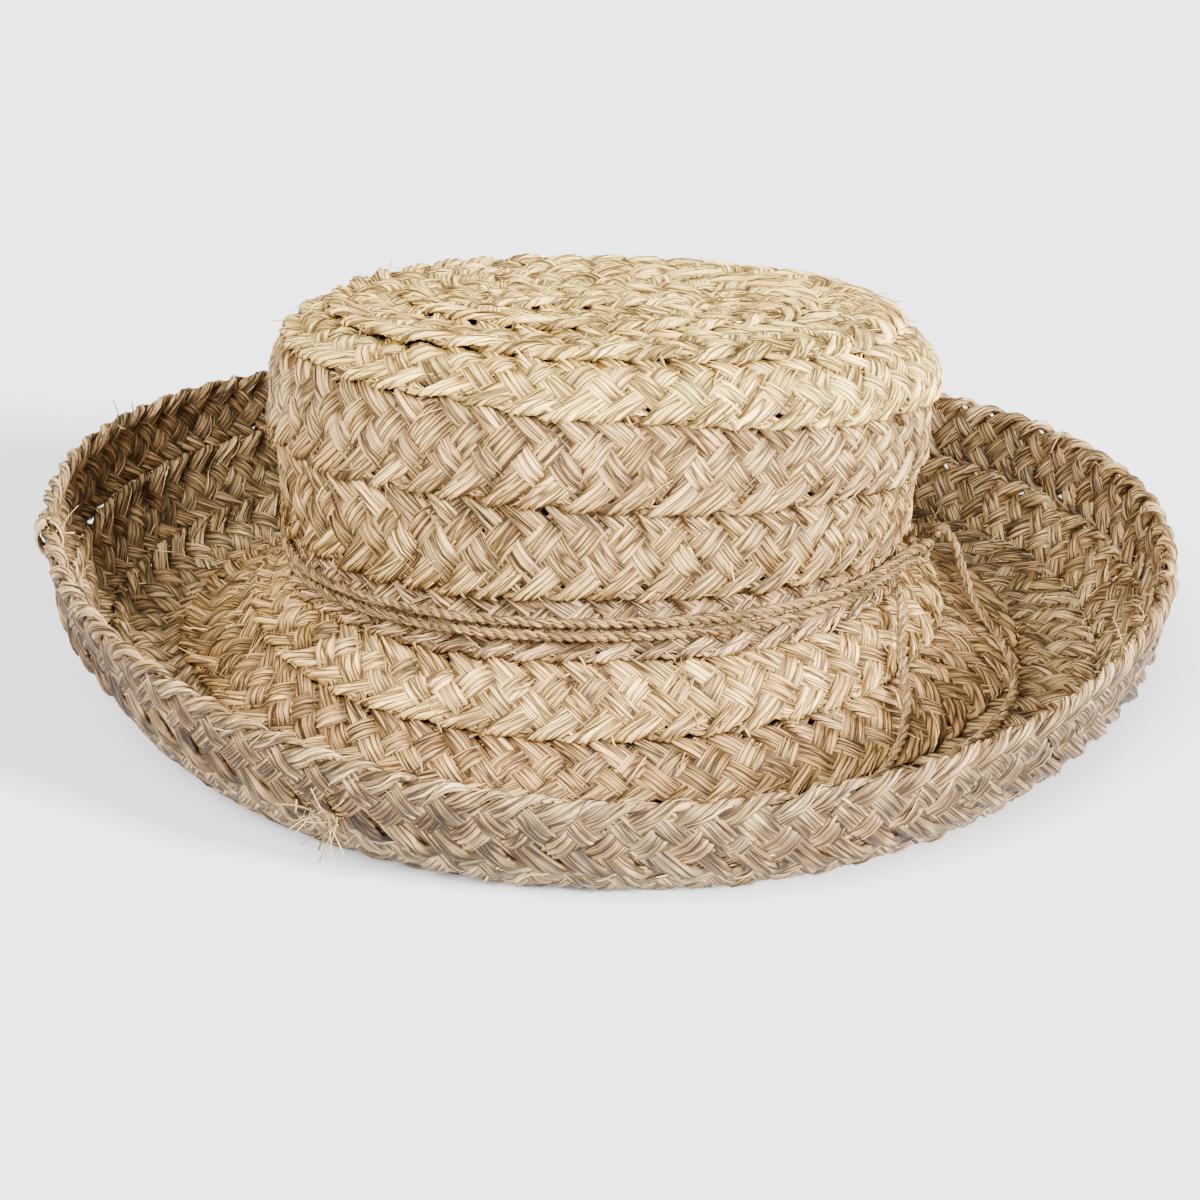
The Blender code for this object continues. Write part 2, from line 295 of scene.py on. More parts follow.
def add_node(tree, kind, settings=None, values=None, links=None):
    """One node with its settings, its socket values and what feeds it."""
    node = tree.nodes.new(kind)
    for key, value in (settings or {}).items():
        setattr(node, key, value)
    for key, value in (values or {}).items():
        node.inputs[key].default_value = value
    for key, source in (links or {}).items():
        tree.links.new(source, node.inputs[key])
    return node


# %% Mix the raffia
# Fibres and lines, in millimetres of the strand. Real ones are finer than a render can show
FIBRE_WIDTH = 1.45
CORD_FIBRE_WIDTH = 0.6
FIBRE_LENGTH = 26.0
LINE_WIDTH = 0.45
LINE_LENGTH = 20.0
LINES_SHIFT = (3.0, 5.0, 7.0)
LINE_NOISE = {"Scale": 1.0, "Detail": 3.0, "Roughness": 0.6}
LINE_EDGES = (0.36, 0.50)
LINE_TONES = (0.32, 1.12)
LEAF_TONES = (0.62, 1.38)
GROOVE_WIDE = 0.14
# Painted shade in the grooves between fibres
GROOVE_TONES = (0.12, 1.0)
LINES_STAND = 0.35
BROWNS_BY = (0.92, 1.0, 1.14)
RAFFIA_IOR = 1.48
RAFFIA_SPECULAR = 0.28
PLAITED_ROUGHNESS = 0.5
TWISTED_ROUGHNESS = 0.6
# How deep the grooves look, in metres
GROOVE_DEEP = 0.00036
CORD_GROOVE_DEEP = 0.0003


def along_fibres(tree, width, length, shift=(0.0, 0.0, 0.0)):
    """Texture coordinates stretched along the strand, from its mm across and mm along."""
    fibre = add_node(tree, "ShaderNodeAttribute", {"attribute_name": "fibre"})
    values = {"Scale": (1 / width, 1 / length, 1.0), "Location": shift}
    return add_node(tree, "ShaderNodeMapping", {}, values, {"Vector": fibre.outputs["Vector"]})


def remap(tree, source, low, high, to_low, to_high, smooth="LINEAR"):
    values = {"From Min": low, "From Max": high, "To Min": to_low, "To Max": to_high}
    node = add_node(tree, "ShaderNodeMapRange", {"interpolation_type": smooth}, values, {"Value": source})
    return node.outputs["Result"]


def multiply(tree, one, other):
    node = add_node(tree, "ShaderNodeMath", {"operation": "MULTIPLY"}, {}, {0: one, 1: other})
    return node.outputs["Value"]


def darker_is_browner(tree, colour, tone):
    """A colour times a tone, where dark tones lose their blue first, as dry leaf does."""
    channels = {}
    for channel, power in zip("XYZ", BROWNS_BY):
        node = add_node(tree, "ShaderNodeMath", {"operation": "POWER"}, {1: power}, {0: tone})
        channels[channel] = node.outputs["Value"]
    shades = add_node(tree, "ShaderNodeCombineXYZ", {}, {}, channels)
    return add_node(tree, "ShaderNodeVectorMath", {"operation": "MULTIPLY"}, {},
                    {0: colour, 1: shades.outputs["Vector"]}).outputs["Vector"]


def raffia(name, roughness, fibre_width, depth):
    """Dry plant ribbon, split into fibres: satin, each fibre with its own tone and painted shade in the
    groove beside it.
    """
    made = bpy.data.materials.new(name)
    made.use_nodes = True
    tree = made.node_tree
    shader = tree.nodes["Principled BSDF"]
    shader.inputs["Roughness"].default_value = roughness
    shader.inputs["IOR"].default_value = RAFFIA_IOR
    shader.inputs["Specular IOR Level"].default_value = RAFFIA_SPECULAR
    straw = add_node(tree, "ShaderNodeAttribute", {"attribute_name": "straw"})
    split = along_fibres(tree, fibre_width, FIBRE_LENGTH)
    edge = add_node(tree, "ShaderNodeTexVoronoi", {"feature": "DISTANCE_TO_EDGE"}, {"Scale": 1.0},
                    {"Vector": split.outputs["Vector"]})
    groove = remap(tree, edge.outputs["Distance"], 0.0, GROOVE_WIDE, 0.0, 1.0, "SMOOTHSTEP")
    leaf = add_node(tree, "ShaderNodeTexVoronoi", {"feature": "F1"}, {"Scale": 1.0},
                    {"Vector": split.outputs["Vector"]})
    leaf_tone = remap(tree, leaf.outputs["Color"], 0.0, 1.0, *LEAF_TONES)
    lines = along_fibres(tree, LINE_WIDTH, LINE_LENGTH, LINES_SHIFT)
    noise = add_node(tree, "ShaderNodeTexNoise", {}, LINE_NOISE, {"Vector": lines.outputs["Vector"]})
    line_tone = remap(tree, noise.outputs["Fac"], *LINE_EDGES, *LINE_TONES, "SMOOTHSTEP")
    # Painted shade in the grooves between fibres
    groove_tone = remap(tree, groove, 0.0, 1.0, *GROOVE_TONES)
    tone = multiply(tree, multiply(tree, leaf_tone, line_tone), groove_tone)
    tree.links.new(darker_is_browner(tree, straw.outputs["Vector"], tone), shader.inputs["Base Color"])
    height = add_node(tree, "ShaderNodeMath", {"operation": "MULTIPLY_ADD"}, {1: LINES_STAND},
                      {0: noise.outputs["Fac"], 2: groove})
    bump = add_node(tree, "ShaderNodeBump", {}, {"Strength": 1.0, "Distance": depth},
                    {"Height": height.outputs["Value"]})
    tree.links.new(bump.outputs["Normal"], shader.inputs["Normal"])
    return made


plait_raffia = raffia("sun-dried raffia, plaited", PLAITED_ROUGHNESS, FIBRE_WIDTH, GROOVE_DEEP)
cord_raffia = raffia("raffia, twisted into cord", TWISTED_ROUGHNESS, CORD_FIBRE_WIDTH, CORD_GROOVE_DEEP)
print("raffia fibres are", FIBRE_WIDTH, "mm wide")


# %% [markdown]
# ## From strands to a mesh
# A strand, a ply or a loose fibre is a closed tube: rings of points along a route, joined by quads.
# A curve object with a bevel would make each one too, but here every ring changes width, and the
# strands of a row are joined into one mesh so that the hat stays light to work with.

# %% Helpers for meshes
LEAF_ROOM = 900


def fibre_map(across, along, leaf):
    """What the material reads at each point: mm across the strand, mm along it, and which leaf it is."""
    return np.stack(np.broadcast_arrays(across, along, leaf), axis=-1)


def finished(name, points, quads, colours, fibres, skin):
    """One object from arrays: its points, its quads, and what the material reads at each point."""
    mesh = bpy.data.meshes.new(name)
    mesh.vertices.add(len(points))
    mesh.vertices.foreach_set("co", points.astype(np.float32).ravel())
    mesh.loops.add(quads.size)
    mesh.loops.foreach_set("vertex_index", quads.astype(np.int32).ravel())
    mesh.polygons.add(len(quads))
    mesh.polygons.foreach_set("loop_start", np.arange(0, quads.size, 4, dtype=np.int32))
    mesh.update(calc_edges=True)
    straw = mesh.attributes.new("straw", "FLOAT_VECTOR", "POINT")
    straw.data.foreach_set("vector", colours.astype(np.float32).ravel())
    fibre = mesh.attributes.new("fibre", "FLOAT_VECTOR", "POINT")
    fibre.data.foreach_set("vector", fibres.astype(np.float32).ravel())
    mesh.shade_smooth()
    mesh.materials.append(skin)
    piece = bpy.data.objects.new(name, mesh)
    bpy.context.collection.objects.link(piece)
    deselect()
    piece.select_set(True)
    bpy.context.view_layer.objects.active = piece
    bpy.ops.object.mode_set(mode="EDIT")
    bpy.ops.mesh.select_all(action="SELECT")
    bpy.ops.mesh.normals_make_consistent(inside=False)
    bpy.ops.object.mode_set(mode="OBJECT")
    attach(piece, "root")
    print(name, "has", 2 * len(quads), "triangles")
    return piece


def tube_quads(sections, sides, closed, first):
    """Quads round a tube, numbered from first: a loop if closed, or with its two ends capped."""
    begin = np.arange(sections if closed else sections - 1)[:, None] * sides
    after = (np.arange(len(begin))[:, None] + 1) % sections * sides
    side = np.arange(sides)[None, :]
    onward = (side + 1) % sides
    quads = np.stack([begin + side, begin + onward, after + onward, after + side], axis=-1).reshape(-1, 4)
    if not closed:
        low = np.arange(sides // 2 - 1)
        cap = np.stack([low, low + 1, sides - 2 - low, sides - 1 - low], axis=-1)
        quads = np.concatenate([quads, cap[:, ::-1], cap + (sections - 1) * sides])
    return quads + first


class Bundle:
    """Tubes gathered for one piece. Each is an array of sections, sides and xyz."""

    def __init__(self):
        self.points, self.quads, self.colours, self.fibres = [], [], [], []
        self.count = 0

    def add(self, tube, colours, fibres, closed):
        sections, sides = tube.shape[:2]
        self.quads.append(tube_quads(sections, sides, closed, self.count))
        self.points.append(tube.reshape(-1, 3))
        self.colours.append(np.broadcast_to(colours, tube.shape).reshape(-1, 3))
        self.fibres.append(np.broadcast_to(fibres, tube.shape).reshape(-1, 3))
        self.count += sections * sides

    def finish(self, name, skin):
        parts = (self.points, self.quads, self.colours, self.fibres)
        return finished(name, *(np.concatenate(part) for part in parts), skin)


def wander(count, every, size, closed=True, fewest=4):
    """A smooth random walk about zero, a new value every so many steps."""
    knots = max(fewest, round(count / every))
    values = draw.normal(0.0, size, knots + 1)
    if closed:
        values[-1] = values[0]
    at = np.arange(count) / count * knots
    low = at.astype(int)
    ease = (1 - np.cos((at - low) * math.pi)) / 2
    return values[low] * (1 - ease) + values[low + 1] * ease


# %% [markdown]
# ## The cord
# Two thin plies of raffia are twisted together into a cord that fills most of the imported model's
# 4 mm. It goes twice round the crown just above the brim, is knotted at the right end, and its two
# tails fall loose over the brim, each with a small knot at its end. A cloth simulation could drop
# the tails, but they have to lie where the imported model has them, so their routes are the same
# listed points. Each ply is a thin tube that winds round the route.

# %% Routes of the cord
CORD = 0.004
CORD_STAND_OFF = 0.0004
PLIES = 2
PLY = 0.00102
PLY_OUT = 0.00078
PLY_PITCH = 0.0068
PLY_SIDES = 8
ROPE_STEP = 0.0008
FINE_STEPS = 16
TURN_POINTS = 90
LOOK_AROUND = 0.01
LOWER_TURN_HEIGHT = 0.0062
TURN_GAP = 0.0004
TURN_HEIGHTS = {"lower": LOWER_TURN_HEIGHT, "upper": LOWER_TURN_HEIGHT + CORD + TURN_GAP}
KNOT_AT = (OPENING_LENGTH / 2 + 0.0115, -0.0078, 0.0024)
KNOT_SIZE = 0.0062
KNOT_CLEARANCE = 0.0008
LEAVES_CROWN = math.radians(32)
TAIL_FRONT = [
    (0.0944, -0.0384, 0.0437),
    (0.0956, -0.0430, 0.0411),
    (0.0952, -0.0520, 0.0375),
    (0.0940, -0.0620, 0.0328),
    (0.0940, -0.0780, 0.0251),
    (0.0920, -0.0920, 0.0193),
    (0.0870, -0.1040, 0.0154),
    (0.0800, -0.1140, 0.0127),
    (0.0740, -0.1205, 0.0113),
]
TAIL_SIDE = [
    (0.1118, -0.0045, 0.0475),
    (0.1150, -0.0030, 0.0490),
    (0.1190, -0.0045, 0.0440),
    (0.1225, -0.0070, 0.0350),
    (0.1265, -0.0120, 0.0255),
    (0.1330, -0.0260, 0.0192),
    (0.1350, -0.0420, 0.0167),
    (0.1330, -0.0580, 0.0151),
    (0.1270, -0.0720, 0.0142),
    (0.1190, -0.0840, 0.0136),
    (0.1100, -0.0940, 0.0131),
]


def smooth_route(points, spacing):
    """Points at even steps along a smooth curve through the given ones."""
    points = np.array(points)
    ends = np.concatenate([[2 * points[0] - points[1]], points, [2 * points[-1] - points[-2]]])
    fine = []
    for before, start, stop, after in zip(ends, ends[1:], ends[2:], ends[3:]):
        t = np.arange(FINE_STEPS)[:, None] / FINE_STEPS
        bend = 2 * before - 5 * start + 4 * stop - after
        twist = 3 * start - before - 3 * stop + after
        fine.append(start + (stop - before) * t / 2 + bend * t**2 / 2 + twist * t**3 / 2)
    fine = np.concatenate([*fine, points[-1:]])
    far = np.concatenate([[0.0], np.cumsum(np.linalg.norm(np.diff(fine, axis=0), axis=1))])
    even = np.linspace(0.0, far[-1], max(3, round(far[-1] / spacing)) + 1)
    return np.stack([np.interp(even, far, fine[:, axis]) for axis in range(3)], axis=-1), far[-1]


def turn_route(height):
    """Once round the crown just above the brim, leaving the wall near the right end to reach the knot."""
    angle = np.linspace(0.0, TURN, TURN_POINTS)
    share = np.full(len(angle), height / SIDE_HEIGHT)
    wall = side_point(angle, share)
    along = side_point(angle + LOOK_AROUND, share) - side_point(angle - LOOK_AROUND, share)
    away = np.stack([along[:, 1], -along[:, 0], np.zeros(len(angle))], axis=-1)
    away /= np.linalg.norm(away, axis=1, keepdims=True)
    near = np.minimum(angle, TURN - angle) / LEAVES_CROWN
    pull = (np.clip(1 - near, 0, 1) ** 2 * (1 + 2 * near))[:, None]
    mean_height = sum(TURN_HEIGHTS.values()) / len(TURN_HEIGHTS)
    beside = np.where(angle < math.pi, 1.0, -1.0) * (KNOT_SIZE + KNOT_CLEARANCE)
    end = np.array(KNOT_AT) + np.stack([0 * beside, beside, 0 * beside + height - mean_height], axis=-1)
    lies_at = wall + away * (WALL / 2 + CORD_STAND_OFF + CORD / 2)
    return smooth_route(to_world(lies_at + (end - lies_at) * pull), ROPE_STEP)


# %% Twist the cord
# How often a thing changes along a ply, in steps, and by how much
PLY_TWIST_WANDERS = (12, 0.12)
PLY_THICKNESS_WANDERS = (6, 0.07)
PLY_TONE_WANDERS = (10, 0.07)
PLY_ROUGH = 0.05
PLY_SLANT = 0.35
PLIES_APART = 17.0
PLY_LEAF_ROOM = 90
ALONG_NO_ROUTE = (0.3, 0.2, 1.0)


def frames_along(route):
    """Two directions square to the route at each point, which turn as little as they can."""
    ahead = np.gradient(route, axis=0)
    ahead /= np.linalg.norm(ahead, axis=1, keepdims=True)
    first = np.cross(ahead[0], ALONG_NO_ROUTE)
    sides = []
    for direction in ahead:
        first = first - direction * (first @ direction)
        first = first / np.linalg.norm(first)
        sides.append(first)
    sides = np.array(sides)
    return sides, np.cross(ahead, sides)


def rope(bundle, route, ply=PLY, out=PLY_OUT, pitch=PLY_PITCH):
    """Plies wound round a route."""
    count = len(route)
    side, up = frames_along(route)
    far = np.arange(count) * np.linalg.norm(route[1] - route[0])
    round_ply = np.arange(PLY_SIDES) * TURN / PLY_SIDES
    for number in range(PLIES):
        turn = TURN * far / pitch + TURN / PLIES * number + wander(count, *PLY_TWIST_WANDERS, closed=False)
        middle = route + (side * np.cos(turn)[:, None] + up * np.sin(turn)[:, None]) * out
        across, over = frames_along(middle)
        thick = ply * (1 + wander(count, *PLY_THICKNESS_WANDERS, closed=False))[:, None, None]
        thick = thick * (1 + draw.normal(0, PLY_ROUGH, (count, PLY_SIDES))[..., None])
        ring = across[:, None] * np.cos(round_ply)[:, None] + over[:, None] * np.sin(round_ply)[:, None]
        tone = 1 + wander(count, *PLY_TONE_WANDERS, closed=False)[:, None, None]
        mm_far = far[:, None] / MM
        fibres = fibre_map(round_ply * ply / MM + mm_far * PLY_SLANT, mm_far,
                           number * PLIES_APART + draw.uniform(0, PLY_LEAF_ROOM))
        bundle.add(middle[:, None] + thick * ring, linear(STRAW_HEX["cord"]) * tone, fibres, False)


def slot_and_replace(piece, slot, *nodes):
    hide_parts(*nodes)
    return piece


turns = Bundle()
for height in TURN_HEIGHTS.values():
    rope(turns, turn_route(height)[0])
slot_and_replace(turns.finish("cord_round_crown", cord_raffia), "cord", "cord_turn_lower", "cord_turn_upper")

# %% [markdown]
# ## The knots
# An overhand knot in a thin cord is a short loop that passes through itself. It could be drawn by
# hand, point by point, but a trefoil curve has just that shape, so the plies are wound round one,
# drawn tight to the size of the real knot.

# %% Tie the knots and lay the tails
KNOT_STEPS = 72
KNOT_DEEP = 1.3
TREFOIL_REACH = 3
KNOT_PLY = 0.0010
KNOT_FACING = (1.2, 0.3, 0.4)
KNOT_PLY_OUT = 0.75
KNOT_PITCH = PLY_PITCH * 0.8
TAIL_KNOT_SIZE = 0.0040
TAIL_KNOT_PLY = 0.0007
TAIL_KNOT_LEAN = (0.5, 0.2)
TAIL_KNOT_OUT = 0.00258


def tie(bundle, at, size, facing, ply):
    """A tight overhand knot of cord round a point."""
    t = np.linspace(0.0, TURN, KNOT_STEPS)
    shape = np.stack([np.sin(t) + 2 * np.sin(2 * t), np.cos(t) - 2 * np.cos(2 * t),
                      -KNOT_DEEP * np.sin(3 * t)], axis=-1)
    turn = np.array(Euler(facing).to_matrix())
    route = np.array(at) + (shape * ((size - 2 * ply) / TREFOIL_REACH)) @ turn.T
    rope(bundle, route, ply=ply, out=ply * KNOT_PLY_OUT, pitch=KNOT_PITCH)


knot = Bundle()
tie(knot, to_world(np.array(KNOT_AT)), KNOT_SIZE, KNOT_FACING, KNOT_PLY)
slot_and_replace(knot.finish("cord_tie", cord_raffia), "cord", "cord_knot")
for name, points in (("front", TAIL_FRONT), ("side", TAIL_SIDE)):
    route, length = smooth_route(points, ROPE_STEP)
    tail = Bundle()
    rope(tail, route)
    tail = slot_and_replace(tail.finish("tail_" + name, cord_raffia), "cord", "cord_tail_" + name)
    onward = (route[-1] - route[-4]) / np.linalg.norm(route[-1] - route[-4])
    facing = (*TAIL_KNOT_LEAN, math.atan2(onward[1], onward[0]))
    end = Bundle()
    tie(end, route[-1] + onward * TAIL_KNOT_OUT, TAIL_KNOT_SIZE, facing, TAIL_KNOT_PLY)
    end = slot_and_replace(end.finish("tail_end_" + name, cord_raffia), "cord", "tail_knot_" + name)
    print("tail", name, "is", round(length / MM, 1), "mm long")

# %% [markdown]
# ## How a flat plait works
# Five strands cross from one edge to the other, at about 40 degrees to the row. Each goes over one
# and under the next, then folds over the edge and comes back, so the edges are smooth folds that
# look like a row of slanting stitches. One crossing could be modelled and repeated, but then every
# leaf would be the same. If the plait is imagined unfolded at its edges, each strand is simply a
# straight ribbon. So a strand is made straight first and folded afterwards, point by point: across
# the flat part it rides up and down over its neighbours, and past the edge it bends round a small
# radius and turns its back to the viewer.

# %% Sizes of the plait
PLAIT_WIDTH = 0.0265
REPEAT = 0.0128
STRANDS = 5
FOLD_RADIUS = 0.00105
RIM_FOLD_RADIUS = 0.0027
CLOSENESS = 1.10
STRAND_THICK = 0.0014
SECTIONS = 30
FACE_POINTS = 9
RIDGE = 0.00026
CROWDED_AT_FOLDS = 0.42
SLANTS_AT_FOLD = 0.30
PILLOW = 0.0011
NARROWS_AT_FOLD = 0.45
PLUMPER_AT_FOLD = 1.0
LAP = 0.0022
LAP_OUT = 0.0012
WALL_OUT = 0.0005
STRETCHES = (0.94, 1.40)
DIP_SHADE = 0.45
FOLD_SHADE = 0.85
DARK_BELOW = -0.3
LIT_ABOVE = 0.6
SINKS_UNDER = 0.4
SINKS_OVER = 0.005
FOLD_SHARPNESS = 8
THINNER_AT_EDGES = 0.5
# How often a thing changes along a strand, in sections, and by how much
WIDTH_WANDERS = (5, 0.10)
SIDEWAYS_WANDERS = (6, 0.0007)
SPLITS_WANDER = (5, 0.22)
CRESTS_WANDER = (4, 0.6)
LIFT_WANDERS = (6, 0.0002)


# %% Make the strands of one row
def strand_section():
    """One cross-section: places across the strand (-1 to 1), which face, and ridge or groove."""
    across = np.linspace(-1, 1, FACE_POINTS)
    ridge = np.where(np.arange(FACE_POINTS) % 2, -1.0, 1.0)
    ridge[[0, -1]] = 0.0
    return (np.concatenate([across, across[::-1]]), np.repeat([1.0, -1.0], FACE_POINTS),
            np.concatenate([ridge, ridge[::-1]]))


def fold(unfolded, middle, lift, radius, bulge):
    """Folds unfolded places into height up the plait, height out of it, over (1) or under (-1), shade."""
    half_bend = radius * math.pi / 2
    at = np.round(middle / PLAIT_WIDTH)[:, None]
    past = unfolded - at * PLAIT_WIDTH
    bend = np.clip(past / radius + math.pi / 2, 0, math.pi)
    flat = np.maximum(np.abs(past) - half_bend, 0)
    upper = np.where(at % 2 == 1, 1.0, -1.0)
    up = PLAIT_WIDTH / 2 + upper * (PLAIT_WIDTH / 2 - half_bend + radius * np.sin(bend) - flat)
    place = middle / PLAIT_WIDTH * STRANDS % STRANDS
    weave = np.cos(math.pi * (place - 1))[:, None]
    inside = ((place >= 1) & (place <= STRANDS - 1))[:, None]
    over = np.where(inside, weave, -np.cos(bend))
    # Painted shade where a strand goes under its neighbours, lighter at its folds
    near = np.clip((over - DARK_BELOW) / (LIT_ABOVE - DARK_BELOW), 0, 1)
    shade = np.where(inside, DIP_SHADE + (1 - DIP_SHADE) * near, FOLD_SHADE + (1 - FOLD_SHADE) * near)
    return up - np.sin(bend) * lift, bulge * over + upper * np.cos(bend) * lift, over, shade


def plait_strand(periods, start, radius=FOLD_RADIUS):
    """Sections of a strand that crosses the plait and comes back, a number of times over."""
    share = np.arange(SECTIONS * periods) / SECTIONS * 2
    unfolded = 1 + share - CROWDED_AT_FOLDS * np.sin(TURN * share) / TURN
    middle = unfolded * PLAIT_WIDTH
    slope = REPEAT * STRANDS / (2 * PLAIT_WIDTH)
    drift = SLANTS_AT_FOLD * np.sin(TURN * unfolded) / TURN
    along = start + (unfolded - 1 + drift) * PLAIT_WIDTH * slope
    count = len(share)
    across, face, ridge = strand_section()
    at_fold = np.cos(math.pi * unfolded) ** FOLD_SHARPNESS
    local = slope * (1 + SLANTS_AT_FOLD * np.cos(TURN * unfolded))
    beside = np.hypot(1.0, local)
    half = CLOSENESS * REPEAT / 2 / beside * (1 - NARROWS_AT_FOLD * at_fold + wander(count, *WIDTH_WANDERS))
    offset = across * half[:, None] + wander(count, *SIDEWAYS_WANDERS)[:, None]
    shift = np.stack([wander(count, *SPLITS_WANDER) for _ in across], axis=1)
    shift[:, ::FACE_POINTS - 1] = 0
    offset = offset + shift * 2 * half[:, None] / FACE_POINTS
    crest = np.stack([1 + wander(count, *CRESTS_WANDER) for _ in across], axis=1)
    thick = STRAND_THICK / 2 * (1 - THINNER_AT_EDGES * across**4) * (1 + PLUMPER_AT_FOLD * at_fold[:, None])
    lift = face * (thick + RIDGE * ridge * crest)
    spread = unfolded[:, None] * PLAIT_WIDTH + offset * (local / beside)[:, None]
    bulge = (FOLD_RADIUS + (radius - FOLD_RADIUS) * at_fold)[:, None]
    up, out, over, shade = fold(spread, middle, lift, radius, bulge)
    out = out - PILLOW * over * across**2 + wander(count, *LIFT_WANDERS)[:, None]
    return along[:, None] - offset / beside[:, None], up, out, offset, middle, shade


# %% [markdown]
# ## Rows of plait
# Each turn of the plait is one row. A row's lower edge laps over the next row, whose upper edge is
# tucked under it, so every row leans a little: its lower edge stands proud of the wall and its
# upper edge is sunk. One spiral would be truer, but the solids are cut at the shoulder and at the
# brim, and closed rows keep to them. Rows are placed by where their lower edges lie on the real
# hat, as shares of the tip, the side or the brim. The number of repeats in a row is whole, so that
# its strands meet themselves again.

# %% Where the rows lie
FIRST_SEAM = 0.140
# Row, region, its lower edge as a share of the region, how that moves with cos(a) and cos(2a), tone
ROWS = [
    ("tip inner", "tip", 0.478, 0.030, 0.0, "tip"),
    ("tip middle", "tip", 0.772, 0.045, 0.0, "tip"),
    ("tip outer", "tip", 0.987, 0.085, 0.0, "tip"),
    ("side upper", "side", 0.365, 0.050, 0.0, "side"),
    ("side middle", "side", 0.760, 0.0, 0.0, "side"),
    ("side lower", "brim", 0.033, 0.0, 0.0, "low"),
    ("brim first", "brim", 0.2075, 0.006, -0.031, "brim"),
    ("brim second", "brim", 0.412, 0.010, -0.008, "mid brim"),
    ("brim third", "brim", 0.615, 0.010, 0.0, "far brim"),
    ("brim fourth", "brim", 0.808, 0.0, 0.0, "far brim"),
    ("brim rim", "brim", 1.000, 0.0, 0.0, "rim"),
]
SEAM_WAVE = 0.0005
SEAM_WAVES = range(3, 15)


def seam_arc(region, share, with_cos, with_cos_two):
    """Arc of a seam at every grid angle, with a small hand-sewn wave."""
    shares = share + with_cos * np.cos(angles) + with_cos_two * np.cos(2 * angles)
    begin = {"tip": tip_arc, "side": 0.0, "brim": crease_arc}[region]
    end = {"tip": 0.0, "side": crease_arc, "brim": rim_arc}[region]
    wave = sum(draw.normal(0, SEAM_WAVE / 3) * np.cos(count * angles + draw.uniform(0, TURN))
               for count in SEAM_WAVES)
    return begin + (end - begin) * shares + wave * (share < 1)


# %% Fibres that lie on a strand
LYING_STEPS = 7
LYING_SIDES = 4
LYING_MARGIN = 0.5
LYING_BOW = (0.2, 1.8)
LYING_CLEAR = 0.1
LYING_FLAT = 0.6
LYING_MM = (0.2, 2.0)
LYING_TONE = (1.08, 0.16)
LYING_PER_REPEAT = 2.6
LYING_LIFT = 0.0004
LYING_HALF = (0.00022, 0.00042)


def lying_fibres(bundle, points, count, tone):
    """Single fibres that came loose and lie askew on a strand: tubes along its outer face."""
    sections = len(points)
    first = draw.integers(0, sections, count)
    rows = (first[:, None] + np.arange(LYING_STEPS)[None, :]) % sections
    begin, end = draw.uniform(LYING_MARGIN, FACE_POINTS - 1 - LYING_MARGIN, (2, count, 1))
    column = begin + (end - begin) * np.linspace(0, 1, LYING_STEPS)
    low = column.astype(int)
    part = (column - low)[..., None]
    top = points[rows, low] * (1 - part) + points[rows, low + 1] * part
    back = points[rows, 2 * FACE_POINTS - 1 - low]
    facing = top - back
    facing /= np.linalg.norm(facing, axis=-1, keepdims=True)
    arch = np.sin(np.linspace(0, math.pi, LYING_STEPS))[None, :, None]
    bow = arch * draw.uniform(*LYING_BOW, (count, 1, 1))
    routes = top + facing * (LYING_LIFT * (LYING_CLEAR + bow))
    ahead = np.gradient(routes, axis=1)
    ahead /= np.linalg.norm(ahead, axis=-1, keepdims=True)
    across = np.cross(ahead, facing)
    turn = (np.arange(LYING_SIDES) * TURN / LYING_SIDES)[:, None]
    for number in range(count):
        half = draw.uniform(*LYING_HALF)
        tube = routes[number][:, None] + half * (
            across[number][:, None] * np.cos(turn) + LYING_FLAT * facing[number][:, None] * np.sin(turn))
        fibres = fibre_map(np.arange(LYING_SIDES) * LYING_MM[0],
                           np.arange(LYING_STEPS)[:, None] * LYING_MM[1],
                           draw.uniform(0, LEAF_ROOM))
        bundle.add(tube, linear(STRAW_HEX[tone]) * draw.normal(*LYING_TONE), fibres, False)


# %% [markdown]
# ## The colour of a strand
# Leaves differ, and one leaf changes along its length. Each point of a strand also gets painted shade
# where it goes under its neighbours, and painted light and shade by where on the hat it lies. A texture
# could be painted for that, but it would fit this hat only. So each point of a strand gets its colour
# from a few rules: its leaf's own tone, the ridges and grooves across it, and where on the hat it lies.

# %% Colour a strand
TONE_SPREAD = 0.11
CELL_SPREAD = 0.18
CELLS = 8
WARMTH = 0.02
WARMTH_SPREAD = 0.03
WARM_LESS_BLUE = 1.5
DARKEST_LEAF = 0.3
GROOVE_SHADE = 0.60
STAINED_EVERY = 5
STAINED_PAST = 2.2
STAINED_MOST = 0.8
# Painted shade in the brim's valley
VALLEY_SHADE = 0.26
VALLEY_AT = 0.48
VALLEY_WIDTH = 0.22
# Painted shade: the brim's sides and back are darker than its front
SIDE_SHADE = 0.22
SIDE_FULL_AT = 0.25
BRIM_STARTS_OVER = 0.06
# Painted shade on the inside of the brim near the rim
INSIDE_SHADE = 0.16
INSIDE_FROM = 0.6
INSIDE_BEHIND_EDGE = 0.6
# Painted shade where a strand lies below the middle of the wall
UNDER_SHADE = 0.28
UNDER_DEEP = 0.0012
# Painted highlight along the rim's edge
RIM_HIGHLIGHT = 1.50
RIM_HIGHLIGHT_WIDTH = 0.008
RIM_HIGHLIGHT_REACHES = 1.4
RIDGE_LIGHT = 1.12
EDGE_SHADE = 0.62


def browner(tone):
    """Three factors for a tone, with the blue falling first, so shade on straw looks brown."""
    return np.stack([tone**power for power in BROWNS_BY], axis=-1)


